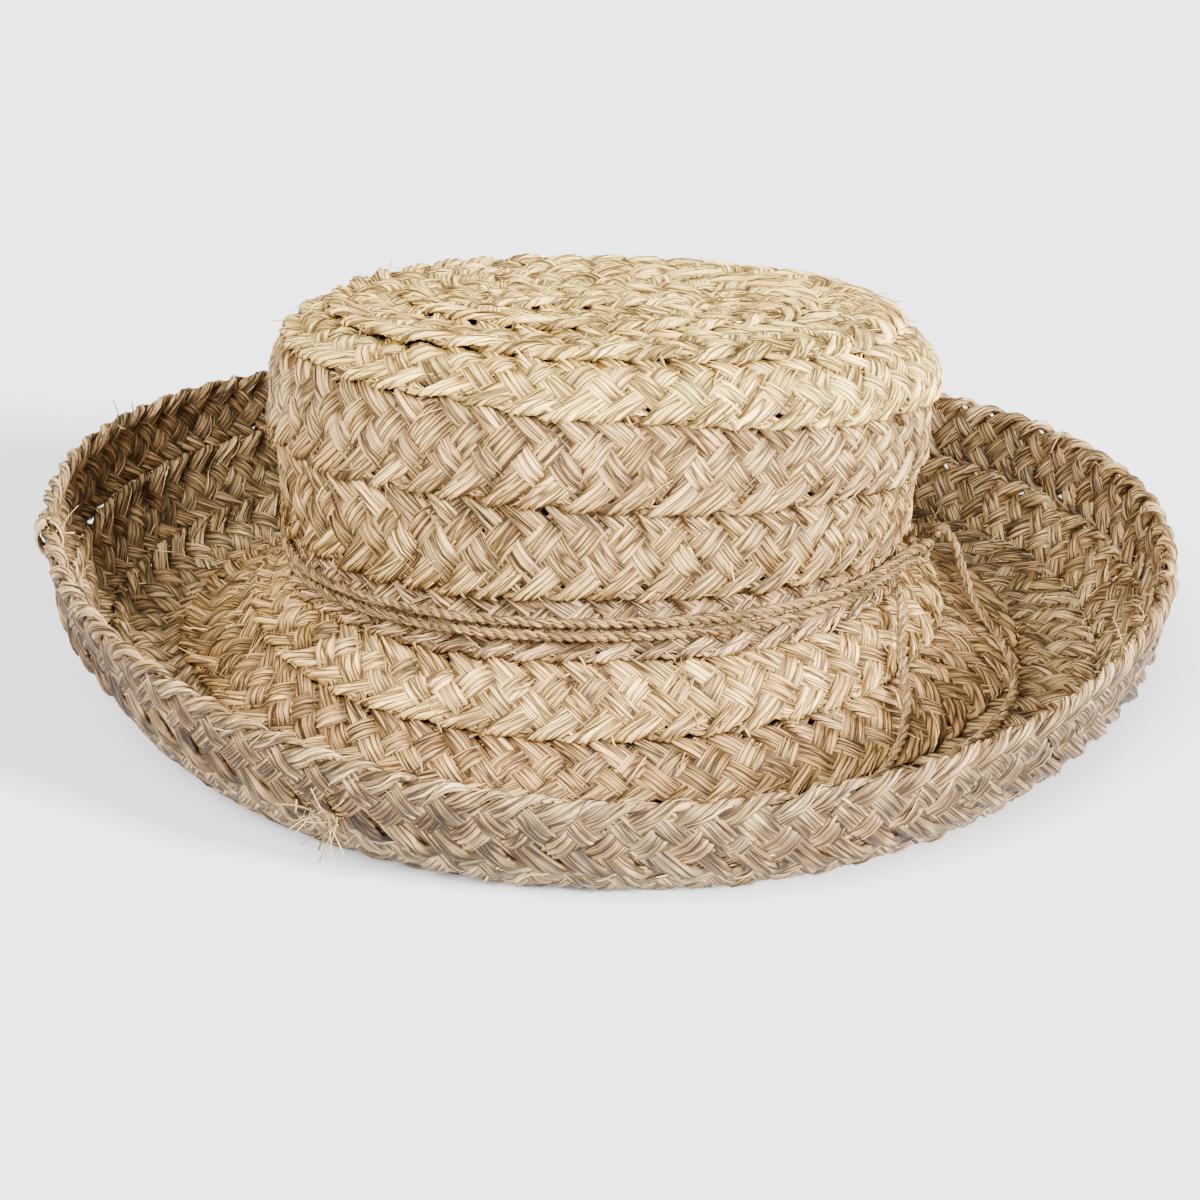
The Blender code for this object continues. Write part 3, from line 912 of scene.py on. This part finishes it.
def strand_tones(count, base):
    """A colour for each section of a strand: each leaf has its own tone and changes along it."""
    leaf = wander(count, 2 * SECTIONS, TONE_SPREAD)
    cell = wander(count, SECTIONS / CELLS, CELL_SPREAD)
    warm = WARMTH + wander(count, SECTIONS, WARMTH_SPREAD)
    warmth = np.stack([1 + warm, np.ones(count), 1 - warm * WARM_LESS_BLUE], axis=-1)
    tone = browner(np.maximum(1 + leaf + cell, DARKEST_LEAF)) * warmth
    ridge = strand_section()[2]
    shade = np.where(ridge < 0, GROOVE_SHADE, np.where(ridge > 0, RIDGE_LIGHT, EDGE_SHADE))
    stain = np.clip(wander(count, STAINED_EVERY, 1.0) - STAINED_PAST, 0, STAINED_MOST)[:, None]
    leaf_colour = linear(base) * tone * (1 - stain) + linear(STRAW_HEX["rust"]) * stain
    return leaf_colour[:, None, :] * browner(shade)[None]


def painted_light_by_place(angle, arc, out):
    """Painted shade on the brim's sides, back, valley and inside, and below the wall's middle; painted light
    on the rim's edge.
    """
    begin, end = round_hat(crease_arc, angle), round_hat(rim_arc, angle)
    share = (arc - begin) / (end - begin)
    on_brim = np.clip(share / BRIM_STARTS_OVER, 0, 1)
    valley_shade_mask = np.exp(-((share - VALLEY_AT) / VALLEY_WIDTH) ** 2)
    from_front = (1 + np.sin(angle)) / 2
    from_edge = (end - arc) / RIM_HIGHLIGHT_WIDTH
    rim_highlight = np.clip(RIM_HIGHLIGHT_REACHES - from_edge, 0, 1)
    inside = np.clip(out / MM, 0, 1) * np.clip(from_edge - INSIDE_BEHIND_EDGE, 0, 1) * (share > INSIDE_FROM)
    under = np.clip(-out / UNDER_DEEP, 0, 1)
    # Painted shade on the brim's sides and back, in its valley, inside near the rim and below the wall's
    # middle
    shaded = 1 - SIDE_SHADE * on_brim * np.clip(from_front / SIDE_FULL_AT, 0, 1)
    shaded = shaded * (1 - VALLEY_SHADE * valley_shade_mask) * (1 - INSIDE_SHADE * inside) * (1 - UNDER_SHADE * under)
    # Painted highlight along the rim's edge
    return shaded * (1 + (RIM_HIGHLIGHT - 1) * rim_highlight)


# %% [markdown]
# ## Laying a row
# A row's length is measured round the hat, and its repeats are stretched a little to fill it. Where
# the visible part of the row is narrow or wide, the plait is squeezed or spread to it, as the
# sewer's hands do. The part that lies under the row above sinks in, and it and a strip just below
# the seam get painted shade.

# %% Lay a row of strands
# Painted shade under and just below each seam
SEAM_SHADE = 0.45
SEAM_SHADE_WIDTH = 0.0024
SEAM_SHADE_CURVE = 0.7
PRESSED_TO = 0.0002
FIBRE_STRETCH = 1.35


def lay_row(bundle, edge, seam, tone, at_rim):
    """One closed turn of plait, its lower edge at one arc and the seam above it at another."""
    middle_line = on_surface(angles, edge - PLAIT_WIDTH / 2, np.zeros(ANGLES))
    steps = np.linalg.norm(np.roll(middle_line, -1, axis=0) - middle_line, axis=1)
    travelled = np.concatenate([[0.0], np.cumsum(steps)])
    repeats = round(travelled[-1] / REPEAT)
    stretch = travelled[-1] / (repeats * REPEAT)
    begin = draw.uniform(0, travelled[-1])
    loops = math.gcd(STRANDS, repeats)
    for loop in range(loops):
        radius = RIM_FOLD_RADIUS if at_rim else FOLD_RADIUS
        along, up, out, offset, middle, painted_dip_shade = plait_strand(repeats // loops, loop * REPEAT, radius)
        angle = np.interp((along * stretch + begin) % travelled[-1], travelled, np.append(angles, TURN))
        visible = round_hat(edge - seam, angle)
        up = up * np.clip((visible + LAP) / PLAIT_WIDTH, *STRETCHES)
        lean = np.clip(up / visible, 0, 1)
        out = out + WALL_OUT + LAP_OUT * (-lean if at_rim else 1 - 2 * lean)
        out = out - SINKS_UNDER * np.clip(up - visible, 0, SINKS_OVER)
        arc = round_hat(edge, angle) - up
        points = on_surface(angle, arc, out)
        points[..., 2] = np.maximum(points[..., 2], PRESSED_TO)
        # Painted shade near the seam, and painted light and shade by place
        clear_of_seam_shade = np.clip((visible - up) / SEAM_SHADE_WIDTH, 0, 1) ** SEAM_SHADE_CURVE
        shade = (SEAM_SHADE + (1 - SEAM_SHADE) * clear_of_seam_shade) * painted_dip_shade * painted_light_by_place(angle, arc, out)
        colours = strand_tones(len(middle), STRAW_HEX[tone]) * browner(shade)
        fibres = fibre_map(offset / MM, middle[:, None] / MM * FIBRE_STRETCH, draw.uniform(0, LEAF_ROOM))
        bundle.add(points, colours, fibres, True)
        lying_fibres(bundle, points, round(LYING_PER_REPEAT * repeats / loops), tone)
    return repeats


# %% [markdown]
# ## The middle of the tip
# The plait starts as a short straight length in the middle, with its ends turned under, and the
# first turn is sewn round it. A round start would need a tighter row than a flat plait can bend to.
# Its strands are the same ones, laid straight and cut to length.

# %% Lay the middle strip
MIDDLE_LENGTH = 0.084
MIDDLE_PERIODS = 3
MIDDLE_ENDS = 0.016
END_MOST = 1.2
END_NARROWS = 0.42
END_DIPS = 0.0036


def lay_middle(bundle):
    """The straight start of the plait, lying along the middle of the tip."""
    for strand in range(STRANDS):
        strand_parts = plait_strand(MIDDLE_PERIODS, (strand - STRANDS) * REPEAT)
        centre = strand_parts[0].mean(axis=1)
        kept = (centre > 0) & (centre < MIDDLE_LENGTH)
        along, up, out, offset, middle, painted_dip_shade = (part[kept] for part in strand_parts)
        x = along - MIDDLE_LENGTH / 2
        ends = np.clip((np.abs(x) - MIDDLE_LENGTH / 2 + MIDDLE_ENDS) / MIDDLE_ENDS, 0, END_MOST) ** 2
        y = (up - PLAIT_WIDTH / 2) * (1 - END_NARROWS * ends)
        plan = np.stack([x, y, np.zeros_like(x)], axis=-1)
        plan[..., 2] = tip_height(plan) + LAP_OUT + out - END_DIPS * ends
        points = to_world(plan + np.array((SHOULDER_RIGHT, -SHOULDER_FORWARD, 0.0)))
        fibres = fibre_map(offset / MM, middle[:, None] / MM * FIBRE_STRETCH, draw.uniform(0, LEAF_ROOM))
        # Painted shade where the strands go under their neighbours
        bundle.add(points, strand_tones(len(middle), STRAW_HEX["tip"]) * browner(painted_dip_shade), fibres, False)


# %% [markdown]
# ## Stitches and loose fibres
# A thin strip of raffia is stitched through each lap, and shows here and there as a short stub that
# slants the other way. Raffia also sheds: fine fibres lift off the folds and stand out at the edges,
# some straight, some curled. Blender's hair could grow them, but a hair is no closed mesh, so each
# is a thin tube, and all of a row's are joined with its strands.

# %% Stitch a seam
STITCH_SIDES = 4
STITCH_STEPS = 5
STITCHES_SHOWN = 0.4
STITCH_STRAYS = 0.18
STITCH_TOP = 0.0022
STITCH_LONG = 0.0042
STITCH_TOP_SPREAD = 0.0003
STITCH_OUT = 0.0026
STITCH_DROPS_AT = 0.35
STITCH_DROPS_OVER = 0.6
STITCH_DROPS = 0.0024
STITCH_STARTS_OVER = 0.25
STITCH_STARTS_SUNK = 0.0016
STITCH_SLANT = 0.022
STITCH_HALF_WIDE = 0.0005
STITCH_HALF_THICK = 0.0004
STITCH_TONE = (0.95, 0.08)
STITCH_MM = (0.5, 5)
INSIDE_THE_HAT = (0.0, 0.0, 0.02)


def tube_along(routes, half_wide, half_thick, sides):
    """Flattened tubes along many short routes at once: routes is tubes, sections, xyz."""
    ahead = np.gradient(routes, axis=1)
    ahead /= np.linalg.norm(ahead, axis=-1, keepdims=True)
    away = routes - np.array(INSIDE_THE_HAT)
    away = away - ahead * (away * ahead).sum(axis=-1, keepdims=True)
    away /= np.linalg.norm(away, axis=-1, keepdims=True)
    across = np.cross(ahead, away)
    turn = np.arange(sides) * TURN / sides + TURN / sides / 2
    return (routes[:, :, None] + across[:, :, None] * half_wide * np.cos(turn)[:, None]
            + away[:, :, None] * half_thick * np.sin(turn)[:, None])


def stitch(bundle, edge, repeats):
    """Short slanting stitches over a seam. Most are hidden under the folds."""
    shown = np.flatnonzero(draw.uniform(size=repeats) < STITCHES_SHOWN)
    at = (shown + draw.uniform(-STITCH_STRAYS, STITCH_STRAYS, len(shown))) / repeats * TURN
    t = np.linspace(0, 1, STITCH_STEPS)[None, :]
    up = STITCH_TOP - STITCH_LONG * t + draw.normal(0, STITCH_TOP_SPREAD, (len(shown), 1))
    drop = np.clip((t - STITCH_DROPS_AT) / STITCH_DROPS_OVER, 0, 1) ** 2
    start = np.clip(1 - t / STITCH_STARTS_OVER, 0, 1)
    out = STITCH_OUT - STITCH_DROPS * drop - STITCH_STARTS_SUNK * start
    angle = at[:, None] + STITCH_SLANT * (t - 0.5)
    routes = on_surface(angle, round_hat(edge, angle) - up, out + 0 * angle)
    for tube in tube_along(routes, STITCH_HALF_WIDE, STITCH_HALF_THICK, STITCH_SIDES):
        tone = linear(STRAW_HEX["side"]) * draw.normal(*STITCH_TONE)
        fibres = fibre_map(np.arange(STITCH_SIDES) * STITCH_MM[0], t.T * STITCH_MM[1],
                           draw.uniform(0, LEAF_ROOM))
        bundle.add(tube, tone, fibres, False)


# %% Let some fibres loose
LOOSE_STEPS = 6
LOOSE_SIDES = 4
LOOSE_WIDTH = (0.00022, 0.0008)
LOOSE_CURL = 0.3
LOOSE_ABOVE_FLOOR = 0.0006
LOOSE_MM = 0.2
LOOSE_TONE = (1.0, 0.14)
LOOK_OUT = 0.01
LOOK_ALONG = 0.02


def loose_fibres(bundle, angle, arc, out, long, lift, tone):
    """Thin fibres that start at places on the plait and lift off it, each with its own curl."""
    count = len(angle)
    level = np.full(count, out)
    start = on_surface(angle, arc, level)
    off = on_surface(angle, arc, level + LOOK_OUT) - start
    along = on_surface(angle + LOOK_ALONG, arc, level) - start
    off /= np.linalg.norm(off, axis=-1, keepdims=True)
    along /= np.linalg.norm(along, axis=-1, keepdims=True)
    heading = draw.uniform(0, TURN, (count, 1))
    rise = draw.uniform(*lift, (count, 1))
    flat = along * np.cos(heading) + np.cross(off, along) * np.sin(heading)
    first = flat * np.cos(rise) + off * np.sin(rise)
    curl = draw.normal(0, LOOSE_CURL, (count, 3))
    length = draw.uniform(*long, (count, 1, 1))
    t = np.linspace(0, 1, LOOSE_STEPS)[None, :, None]
    routes = start[:, None] + (first[:, None] * t + curl[:, None] * t**2) * length
    routes[..., 2] = np.maximum(routes[..., 2], LOOSE_ABOVE_FLOOR)
    wide = draw.uniform(*LOOSE_WIDTH, (count, 1, 1, 1))
    for tube in tube_along(routes, wide / 2, LOOSE_WIDTH[0] / 2, LOOSE_SIDES):
        fibres = fibre_map(np.arange(LOOSE_SIDES) * LOOSE_MM, np.arange(LOOSE_STEPS)[:, None],
                           draw.uniform(0, LEAF_ROOM))
        bundle.add(tube, linear(STRAW_HEX[tone]) * draw.normal(*LOOSE_TONE), fibres, False)


# %% [markdown]
# ## The whole hat
# Everything is ready to be plaited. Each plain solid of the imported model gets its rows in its
# place. The brim takes several meshes, because one with all its rows would be too heavy. The
# side's lowest row is one by itself, because it already turns out onto the brim.

# %% Plait the whole hat
# Group: its slot, the solid it stands for, and its rows
GROUPS = {
    "plaited_tip": ("straw_tip", "crown_tip", ["tip inner", "tip middle", "tip outer"]),
    "plaited_side": ("straw_side", "crown_side", ["side upper", "side middle"]),
    "plaited_side_foot": ("straw_side", "crown_side", ["side lower"]),
    "plaited_brim_inner": ("straw_brim", "brim", ["brim first", "brim second"]),
    "plaited_brim_middle": ("straw_brim", "brim", ["brim third"]),
    "plaited_brim_outer": ("straw_brim", "brim", ["brim fourth"]),
    "plaited_rim": ("straw_brim", "brim", ["brim rim"]),
}
LAST_ROW = "brim rim"
LOOSE_WITHIN = 0.006
LOOSE_OUT = 0.0028
LOOSE_LONG = (0.003, 0.008)
LOOSE_LIFT = (0.0, 0.4)
edges = {row[0]: seam_arc(*row[1:5]) for row in ROWS}
seams = dict(zip(edges, [seam_arc("tip", FIRST_SEAM, 0.0, 0.0), *edges.values()]))
tones = {row[0]: row[5] for row in ROWS}
for group, (slot, node, rows) in GROUPS.items():
    bundle = Bundle()
    for row in rows:
        repeats = lay_row(bundle, edges[row], seams[row], tones[row], row == LAST_ROW)
        print(row, "has", repeats, "repeats")
        if row != LAST_ROW:
            stitch(bundle, edges[row], repeats)
        angle = draw.uniform(0, TURN, repeats)
        arc = round_hat(edges[row], angle) - draw.uniform(0, LOOSE_WITHIN, repeats)
        loose_fibres(bundle, angle, arc, LOOSE_OUT, LOOSE_LONG, LOOSE_LIFT, tones[row])
    if node == "crown_tip":
        lay_middle(bundle)
    slot_and_replace(bundle.finish(group, plait_raffia), slot, node)

# %% [markdown]
# ## Where the plait ends
# The last turn ends at the left of the rim, where a strip of raffia binds it to the row before, and
# its cut ends curl out. The strip could be a curve with a bevel, but it is wound like the plies, as
# one flat tube. Under the brim at the front left, a split strand sticks out as a tuft.

# %% Bind the end of the plait
BINDING_AT = math.radians(193)
BINDING_TURNS = 4
BINDING_STEPS = 14
BINDING_SIDES = 6
BINDING_SPACING = 0.0105
BINDING_HALF_HIGH = 0.0048
BINDING_REACH = 1.25
BINDING_HALF_DEEP = 0.0040
BINDING_HALF_WIDE = 0.0011
BINDING_HALF_THICK = 0.0008
BINDING_MM = (0.5, 1.9)
BINDING_LEAF = 3.0
CUT_ENDS = 9
CUT_ENDS_SPREAD = 0.008
CUT_ENDS_IN = 0.006
CUT_ENDS_OUT = 0.0030
CUT_ENDS_LONG = (0.005, 0.010)
CUT_ENDS_LIFT = (0.0, 0.6)

ends = Bundle()
t = np.linspace(0, BINDING_TURNS, BINDING_TURNS * BINDING_STEPS)
wound_arc = round_hat(rim_arc, BINDING_AT + 0 * t) - BINDING_HALF_HIGH
wound_arc = wound_arc + BINDING_HALF_HIGH * BINDING_REACH * np.cos(TURN * t)
wound = on_surface(BINDING_AT + BINDING_SPACING * (t - BINDING_TURNS / 2), wound_arc,
                   BINDING_HALF_DEEP * np.sin(TURN * t))
for tube in tube_along(wound[None], BINDING_HALF_WIDE, BINDING_HALF_THICK, BINDING_SIDES):
    fibres = fibre_map(np.arange(BINDING_SIDES) * BINDING_MM[0], np.arange(len(t))[:, None] * BINDING_MM[1],
                       BINDING_LEAF)
    ends.add(tube, linear(STRAW_HEX["rim"]), fibres, False)
cut_at = BINDING_AT + draw.normal(0, CUT_ENDS_SPREAD, CUT_ENDS)
loose_fibres(ends, cut_at, round_hat(rim_arc, cut_at) - CUT_ENDS_IN, CUT_ENDS_OUT, CUT_ENDS_LONG,
             CUT_ENDS_LIFT, "brim")
print("the binding goes round", BINDING_TURNS, "times")

# %% Let the tuft out
TUFT_AT = math.radians(244)
TUFT = 26
TUFT_SPREAD = 0.02
TUFT_ABOVE_RIM = (0.018, 0.024)
TUFT_OUT = -0.003
TUFT_LONG = (0.004, 0.013)
TUFT_LIFT = (-1.3, -0.2)

tuft_at = TUFT_AT + draw.normal(0, TUFT_SPREAD, TUFT)
loose_fibres(ends, tuft_at, round_hat(rim_arc, tuft_at) - draw.uniform(*TUFT_ABOVE_RIM, TUFT), TUFT_OUT,
             TUFT_LONG, TUFT_LIFT, "far brim")
slot_and_replace(ends.finish("loose_ends", plait_raffia), "straw_brim", "brim")

# %% [markdown]
# ## Floor and light
# The hat lies on a plain pale floor. A window light comes low from the right, so the crown shades
# the left of the brim and the rim shades the slope on the right. A wider, weaker one comes from the
# front left, and a pale world fills in. Both are far lamps, because an area lamp near the hat would
# light one end of the brim more than the other.

# %% Set the floor and the lights
FLOOR_SIZE = 8.0
FLOOR_WHITE = "#FAFBFD"
FLOOR_ROUGHNESS = 0.7
ROOM_WHITE = "#F1F5FB"
ROOM_STRENGTH = 0.40
# Lamp: where its light comes from, its spread in degrees, its strength
LAMPS = {
    "window_right": ((0.74, -0.42, 0.36), 12, 13.6),
    "softbox_left": ((-0.32, -0.62, 0.71), 40, 8.8),
}

deselect()
bpy.ops.mesh.primitive_plane_add(size=FLOOR_SIZE, location=(0, 0, 0))
floor = bpy.context.object
floor.name = "pale_floor"
floor_paint = bpy.data.materials.new("matt white paint")
floor_paint.use_nodes = True
floor_shader = floor_paint.node_tree.nodes["Principled BSDF"]
floor_shader.inputs["Base Color"].default_value = (*linear(FLOOR_WHITE), 1.0)
floor_shader.inputs["Roughness"].default_value = FLOOR_ROUGHNESS
floor.data.materials.append(floor_paint)
for name, (toward, spread, strength) in LAMPS.items():
    deselect()
    bpy.ops.object.light_add(type="SUN", location=toward)
    lamp = bpy.context.object
    lamp.name = name
    lamp.data.angle = math.radians(spread)
    lamp.data.energy = strength
    lamp.rotation_euler = Vector(toward).to_track_quat("Z", "Y").to_euler()
world = bpy.data.worlds.new("pale room")
bpy.context.scene.world = world
world.use_nodes = True
background = world.node_tree.nodes["Background"]
background.inputs["Color"].default_value = (*linear(ROOM_WHITE), 1.0)
background.inputs["Strength"].default_value = ROOM_STRENGTH
print("lit by", len(LAMPS), "lamps and the room")
